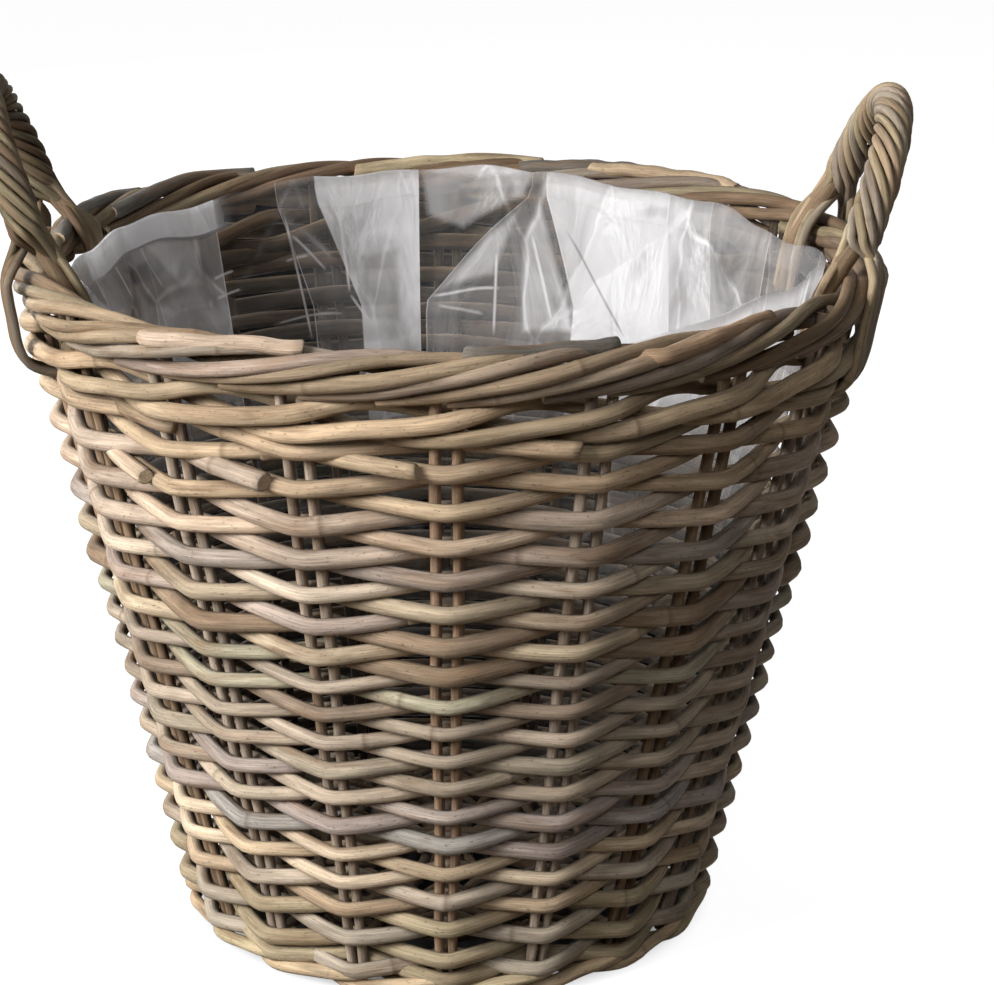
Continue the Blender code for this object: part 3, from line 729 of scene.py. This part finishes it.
# Base
def build_base(material):
    """Two layers of sticks that cross in the middle, with thin weavers spiralling out between them."""
    fan = 0.045
    cross = 0.018
    for label, count, layer, turn in (("long", 5, -1, 0.0), ("cross", 4, 1, math.pi / 2)):
        for i in range(count):
            node = "base_stick_%s_%d" % (label, i + 1)
            rods = Rods("rattan_" + node)
            place = i - (count - 1) / 2
            tip = stake_radius(BASE_HEIGHT) - 0.001
            near = [radial(place * STEP) * reach + UP * BASE_HEIGHT for reach in (tip, 0.115, 0.085, fan)]
            near.append(np.array((place * 0.0066, -cross, BASE_HEIGHT + layer * 0.00315)))
            far = [point * np.array((1, -1, 1)) for point in near[::-1]]
            path = spline(near + far)
            spin = np.array(((math.cos(turn), -math.sin(turn), 0), (math.sin(turn), math.cos(turn), 0),
                             (0, 0, 1)))
            path = path @ spin.T
            travel = np.linspace(0, 1, len(path))
            taper = np.minimum(travel, 1 - travel) / 0.06
            radius = 0.0018 + (BASE_STICK_RADIUS - 0.0018) * ease(taper)
            # Painted shade: the base sticks are written at about half their colour for the shade inside the
            # basket
            rods.add(path, UP, radius, rods.tint(BROWN, GREY, TAN) * 0.48)
            rods.build(material, "base", node)
    for i in range(2):
        node = "base_weaver_%d" % (i + 1)
        rods = Rods("rattan_" + node)
        random = rods.random
        start, pitch, last = 0.058, 0.0058, 0.110
        total = (last - start) / (2 * pitch) * STAKE_PAIRS
        steps = np.arange(0, total, 1 / 12)
        reach = start + steps * 2 * pitch / STAKE_PAIRS
        angle = i * math.pi + steps * STEP
        lift = -0.0056 * np.cos(np.pi * steps)
        height = BASE_HEIGHT + lift + wander(random, steps * 0.03, 0.1, 0.0003)
        path = radial(angle) * reach[:, None] + UP * height[:, None]
        # Painted shade: the base weavers too are written at half their colour for the shade inside the basket
        rods.add(path, radial(angle), BASE_WEAVER_RADIUS, rods.tint(GREY, TAN) * 0.5, spacing=0.003)
        rods.build(material, "base", node)


# Handles
def bow_frame(share, front, rear, top):
    """Middle, direction and outward normal of a bow at the right, from its front foot to its rear one."""
    u = np.pi * np.asarray(share)[:, None]
    front = np.array(front + (HANDLE_FEET_HEIGHT,))
    rear = np.array(rear + (HANDLE_FEET_HEIGHT,))
    feet = (front + rear) / 2
    across = (rear - front) / 2
    rise = np.array((top[0], 0, top[1])) - feet
    middle = feet - across * np.cos(u) + rise * np.sin(u)
    along = unit(across * np.sin(u) + rise * np.cos(u))
    normal = unit(np.cross(across, rise))
    return middle, along, np.broadcast_to(normal, along.shape)


def foot_route(angle, route):
    """Points past a handle's foot, each out from the stakes and up from the border's middle."""
    points = []
    for slide, out, lift in route:
        height = BORDER_MIDDLE + lift
        points.append(radial(angle + slide / RIM_RADIUS) * (stake_radius(height) + out) + UP * height)
    return points


def strand_tail(angle, outward, reach, hang, lay, drift):
    """A strand past the foot: over the border and hooked under the wale, or cut off inside."""
    if outward:
        route = [(0.0105, 0.011), (0.0126, 0.001), (0.0134, -0.012), (0.0142, -0.026), (0.0122, -0.036),
                 (0.005, -0.0412), (-0.003, -0.0425)]
    else:
        route = [(-0.0125, 0.009), (-0.0150, -0.002), (-0.0150, -0.014), (-0.0140, -0.026)]
    slide = math.copysign(1, drift) * foot_slide(lay)
    second_layer = outward and math.cos(lay) < -0.1
    if second_layer:
        slide = slide + math.copysign(1.07 * STRAND_RADIUS, drift)
    out_more = 0.0038 if second_layer else 0.0
    steps = [(slide + drift * i, (out + out_more) * reach, lift * hang)
             for i, (out, lift) in enumerate(route)]
    return foot_route(angle, steps)


def foot_slide(lay):
    """Where round the border a strand lands: side by side, in the order they lie round the rope."""
    lay = (lay + np.pi) % (2 * np.pi) - np.pi
    folded = lay if abs(lay) <= np.pi / 2 else math.copysign(np.pi, lay) - lay
    return folded * 2.15 * STRAND_RADIUS / (np.pi / 4)


def build_handles(material):
    share = np.linspace(0, 1, 200)
    # Each with the feet and top of its bow, and how far out a strand lies that goes outside the border
    for label, turn, fore, aft, top, leans in (
            ("right", 0.0, (0.2015, -0.0675), (0.2065, 0.0675), (0.2262, 0.434), (-0.2, 0.3)),
            ("left", math.pi, (0.2130, -0.0610), (0.2020, 0.0675), (0.2350, 0.442), (0.3, 0.55))):
        # The left handle's strands are written much darker than the right's: partly a browner cane, partly
        # painted shade
        shade, reach, hang, shift = (0.37, 1.35, 0.94, 0) if label == "left" else (0.80, 1.0, 1.16, 0.0055)
        spin = np.array(((math.cos(turn), -math.sin(turn), 0), (math.sin(turn), math.cos(turn), 0),
                         (0, 0, 1)))
        middle, along, normal = bow_frame(share, fore, aft, top)
        binormal = np.cross(along, normal)
        front = math.atan2(fore[0], -fore[1]) - shift / RIM_RADIUS
        rear = math.atan2(aft[0], -aft[1])
        core = Rods("rattan_handle_%s_bow" % label)
        inside = [(0.0, -0.0125, 0.004), (0.0, -0.0150, -0.010), (0.0, -0.0150, -0.032)]
        path = spline(np.concatenate([foot_route(front, inside)[::-1], middle[12:-12:8],
                                      foot_route(rear, inside)]), 6)
        # Painted shade: the bow is written dark so that the gaps between the strands read as shade
        core.add(path @ spin.T, normal[0] @ spin.T, BOW_RADIUS, core.tint(BROWN) * 0.6, knots=False)
        core.build(material, "handle", "handle_%s_bow" % label)
        for group in range(4):
            node = "handle_%s_wrap_%d" % (label, group + 1)
            rods = Rods("rattan_" + node)
            random = rods.random
            for strand in range(group, STRANDS, 4):
                lay = 2 * np.pi * (strand / STRANDS - STRAND_TURNS * share)
                ring = STRAND_LAY + wander(random, share * 0.23, 0.12, 0.0004)
                wound = middle + (normal * np.cos(lay)[:, None] + binormal
                                  * np.sin(lay)[:, None]) * ring[:, None]
                first = strand_tail(front, math.cos(lay[0]) > leans[0], 1.0, hang, lay[0], -0.0006)
                last = strand_tail(rear, math.cos(lay[-1]) > leans[1], reach, hang, lay[-1], 0.0006)
                path = spline(np.concatenate([first[::-1], wound[6:-6:4], last]), 6)
                side = np.broadcast_to(normal[0], path.shape)
                size = STRAND_RADIUS + random.normal(0, 0.00012)
                rods.add(path @ spin.T, side @ spin.T, size, rods.tint(OLIVE, TAN, BROWN, GREY) * shade,
                         spacing=0.0032)
            rods.build(material, "handle", node)


# Liner
def build_liner():
    """The film bag: flat panels between sharp folds against the wall, with a hem folded in at the top."""
    random = np.random.RandomState(11)
    fold, slant, stand, milk = np.array(FILM_PANELS + ((360,) + FILM_PANELS[0][1:],)).T
    fold = np.radians(fold)
    slant = np.radians(slant)
    sharp = random.uniform(0.15, 0.65, len(FILM_PANELS))
    columns = np.concatenate([[0, 0.012], np.linspace(0.06, 0.94, 10), [0.988]])
    panel = np.repeat(np.arange(len(FILM_PANELS)), len(columns))
    part = np.tile(columns, len(FILM_PANELS))
    count = len(panel)

    # Wall of the bag
    bottom = BASE_HEIGHT + 0.0095
    wall_rows = 46
    share = np.linspace(0, 1, wall_rows)[:, None]
    level = bottom + (FILM_TOP - bottom) * share
    slide = np.clip((0.34 - level) / 0.06, 0, 1)
    left = fold[panel] + slant[panel] * slide
    right = fold[panel + 1] + slant[panel + 1] * slide
    angle = left + (right - left) * part
    top = FILM_TOP + 0.008 * bump_at(angle, 178, 34) + 0.013 * bump_at(angle, 52, 28)
    top = top + 0.0012 * np.sin(9 * angle) + 0.0008 * np.sin(23 * angle + 1)
    height = bottom + (top - bottom) * share
    depth = (stand[panel] + (stand[panel + 1] - stand[panel]) * part) / 1000
    depth = depth * (0.25 + 0.75 * share) + 0.002 * np.sin(np.pi * part) * np.sin(9 * share + panel)
    for foot in HANDLE_FEET:
        depth = depth + 0.007 * bump_at(angle, foot, 11) * ease((share - 0.75) / 0.15)
    reach = stake_radius(height) - FILM_GAP - np.maximum(depth, 0)
    wall = radial(angle) * reach[..., None] + UP * height[..., None]
    near = ease((np.abs(np.degrees(angle) - 180) - 80) / 20)
    seen = (0.03 + 0.97 * ease((height - 0.20) / 0.07)) * (1 - 0.75 * near * ease((0.335 - height) / 0.02))
    haze = milk[panel] * seen
    # Painted highlight along the fold at the start of each panel
    fold_glint = (part == 0) * sharp[panel] * seen

    # Floor of the bag, then the hem
    rings = []
    for i in range(8):
        shrink = (i + 1) / 9
        ring = wall[0] * np.array((shrink, shrink, 1.0))
        ring[:, 2] = bottom + 0.0015 * np.sin(5 * angle[0] + 3 * i) * (1 - shrink)
        rings.append(ring)
    drop = HEM_DROP * np.array((0.03, 0.2, 0.4, 0.6, 0.8, 0.9, 0.93, 1.0))
    uneven = 1 + 0.10 * np.sin(5 * angle[-1] + 2) + 0.05 * np.sin(13 * angle[-1])
    fall = drop[:, None] * uneven
    inward = np.linspace(0.0012, 0.0032, len(drop))[:, None] + fall * math.tan(LEAN)
    hem = wall[-1] - radial(angle[-1]) * inward[..., None] - UP * fall[..., None]
    points = np.concatenate([np.array(rings), wall, hem])
    rows = len(points)
    values = {label: np.zeros((rows, count)) for label in ("haze", "fold_glint", "hem_line")}
    values["haze"][:8] = 0.02
    values["haze"][8:8 + wall_rows] = haze
    values["fold_glint"][8:8 + wall_rows] = fold_glint
    turned = np.degrees(angle[-1])
    white_hem = ease((turned - 220) / 6) * ease((268 - turned) / 8)
    values["haze"][8 + wall_rows:] = 0.04 + 0.10 * haze[-1] + 0.70 * white_hem
    # Painted highlight on the white part of the hem
    values["fold_glint"][8 + wall_rows:] = 0.15 * white_hem
    # A dark line along the hem's lower edge, darkest on the left
    values["hem_line"][-2:] = 0.05 + 0.80 * white_hem

    grid = np.arange(rows * count).reshape(rows, count)
    following = np.roll(grid, -1, axis=1)
    quads = np.stack([grid[:-1], following[:-1], following[1:], grid[1:]], -1).reshape(-1, 4)
    mesh = bpy.data.meshes.new("film_liner")
    mesh.from_pydata(points.reshape(-1, 3).tolist(), [], quads.tolist() + [grid[0, ::-1].tolist()])
    mesh.shade_smooth()
    for label, value in values.items():
        mesh.attributes.new(label, "FLOAT", "POINT").data.foreach_set("value", value.reshape(-1))
    around = np.concatenate([np.repeat(angle[:1], 8, 0), angle, np.repeat(angle[-1:], len(drop), 0)])
    around = np.concatenate([around, around[:, :1] + 2 * np.pi], 1) * FILM_RADIUS
    up = np.concatenate([bottom - 0.012 * np.arange(8, 0, -1), level[:, 0], FILM_TOP + drop])
    corner_x = np.stack([around[:-1, :-1], around[:-1, 1:], around[1:, 1:], around[1:, :-1]], -1)
    corner_y = np.stack([up[:-1], up[:-1], up[1:], up[1:]], -1)[:, None]
    coords = np.stack(np.broadcast_arrays(corner_x, corner_y), -1).reshape(-1, 2)
    mesh.uv_layers.new(name="film").data.foreach_set(
        "uv", np.concatenate([coords, np.zeros((count, 2))]).reshape(-1))
    mesh.materials.append(film_material())
    piece = add_piece("film_liner", mesh, ["liner_bag"])


# Stage
def seen_share(tree):
    """1 for what the camera sees directly or in a reflection, but not through the film."""
    path = add_node(tree, "ShaderNodeLightPath")
    clear = math_node(tree, "LESS_THAN", path.outputs["Transparent Depth"], 0.5)
    direct = math_node(tree, "MULTIPLY", path.outputs["Is Camera Ray"], clear)
    mirrored = math_node(tree, "MAXIMUM", path.outputs["Is Glossy Ray"], path.outputs["Is Transmission Ray"])
    return math_node(tree, "MAXIMUM", direct, mirrored)


def build_floor():
    """White to the eye but for a faint shadow and a painted shadow under the basket, painted black where seen
    through the film, and pale to the light that it bounces.
    """
    material = bpy.data.materials.new("floor")
    material.use_nodes = True
    tree = material.node_tree
    shader = tree.nodes["Principled BSDF"]
    looked_at = add_node(tree, "ShaderNodeLightPath").outputs["Is Camera Ray"]
    # Painted shade: seen through the film the floor is black, standing in for the shade inside and behind the
    # basket
    eye = math_node(tree, "MULTIPLY", seen_share(tree), FLOOR_SHADE)
    eye = add_node(tree, "ShaderNodeCombineXYZ", None, X=eye, Y=eye, Z=eye).outputs[0]
    shade = blend(tree, "MIX", looked_at, FLOOR_BOUNCE, eye)
    tree.links.new(shade, shader.inputs["Base Color"])
    shader.inputs["Roughness"].default_value = 0.9
    shader.inputs["Specular IOR Level"].default_value = 0.0
    place = add_node(tree, "ShaderNodeTexCoord").outputs["Object"]
    reach = add_node(tree, "ShaderNodeVectorMath", {"operation": "LENGTH"}, i0=place).outputs["Value"]
    # Painted shadow: the glow fades out over the floor under the basket's foot
    open_floor = add_node(tree, "ShaderNodeMapRange", {"interpolation_type": "SMOOTHSTEP"}, Value=reach,
                          From_Min=FOOT_RADIUS - 0.02, From_Max=FOOT_RADIUS + 0.018, To_Min=0.0,
                          To_Max=FLOOR_GLOW).outputs[0]
    glow = add_node(tree, "ShaderNodeEmission", None,
                    Strength=math_node(tree, "MULTIPLY", seen_share(tree), open_floor))
    both = add_node(tree, "ShaderNodeAddShader", None, i0=shader.outputs[0], i1=glow.outputs[0])
    tree.links.new(both.outputs[0], tree.nodes["Material Output"].inputs["Surface"])
    mesh = bpy.data.meshes.new("floor")
    reach = 6.0
    corners = [(-reach, -reach, 0), (reach, -reach, 0), (reach, reach, 0), (-reach, reach, 0)]
    mesh.from_pydata(corners, [], [(0, 1, 2, 3)])
    mesh.materials.append(material)
    floor = bpy.data.objects.new("floor", mesh)
    bpy.context.scene.collection.objects.link(floor)


def build_world():
    world = bpy.data.worlds.new("studio")
    bpy.context.scene.world = world
    world.use_nodes = True
    tree = world.node_tree
    # Painted shade: seen through the film the world is as dark as the ambient light
    colour = blend(tree, "MIX", seen_share(tree), AMBIENT, (1, 1, 1, 1))
    tree.links.new(colour, tree.nodes["Background"].inputs["Color"])


def add_lamp(name, place, aim, size, power):
    lamp = bpy.data.lights.new(name, "AREA")
    lamp.size = size
    lamp.energy = power
    light = bpy.data.objects.new(name, lamp)
    bpy.context.scene.collection.objects.link(light)
    light.location = place
    away = np.array(place) - np.array(aim)
    light.rotation_euler = (math.acos(away[2] / np.linalg.norm(away)), 0,
                            math.atan2(away[1], away[0]) + math.pi / 2)


def build_camera():
    """The photograph's view, with the basket left of the picture's middle."""
    picture_width = 994
    focal = 3113
    axis_column = 447
    data = bpy.data.cameras.new("camera")
    data.sensor_fit = "HORIZONTAL"
    data.sensor_width = 36.0
    data.lens = focal / picture_width * data.sensor_width
    data.shift_x = (picture_width / 2 - axis_column) / picture_width
    camera = bpy.data.objects.new("camera", data)
    bpy.context.scene.collection.objects.link(camera)
    camera.location = (0, -1.566, 0.733)
    camera.rotation_euler = (math.pi / 2 - 0.313, 0, 0)
    bpy.context.scene.camera = camera


bpy.context.scene.view_settings.view_transform = "Standard"
build_camera()
build_floor()
build_world()
add_lamp("key", (-1.574, -1.042, 1.22), (0, 0, 0.25), 1.0, 81)
add_lamp("fill", (0.2, -2.5, 2.1), (0, 0, 0.2), 1.0, 20)
add_lamp("top", (-0.1, 0.1, 1.75), (0, 0, 0.3), 0.9, 2.4)
add_lamp("back", (-1.2, 2.0, 0.6), (0, 0, 0.2), 1.2, 24)
build_stakes(rattan_material("rattan_stake", 0.7, 0.30))
weaver = rattan_material("rattan_weaver", 0.66, 0.26)
build_weavers(weaver)
wale = rattan_material("rattan_wale", 0.62, 0.25)
build_wale("wale", WALE_HEIGHT, WALE_RADIUS, WALE_HALF_SPREAD, wale)
build_wale("foot_wale", FOOT_WALE_HEIGHT, FOOT_WALE_RADIUS, FOOT_WALE_HALF_SPREAD, wale)
build_border(rattan_material("rattan_border", 0.62, 0.26))
build_base(rattan_material("rattan_base", 0.7, 0.3))
build_handles(rattan_material("rattan_handle", 0.62, 0.27))
build_liner()
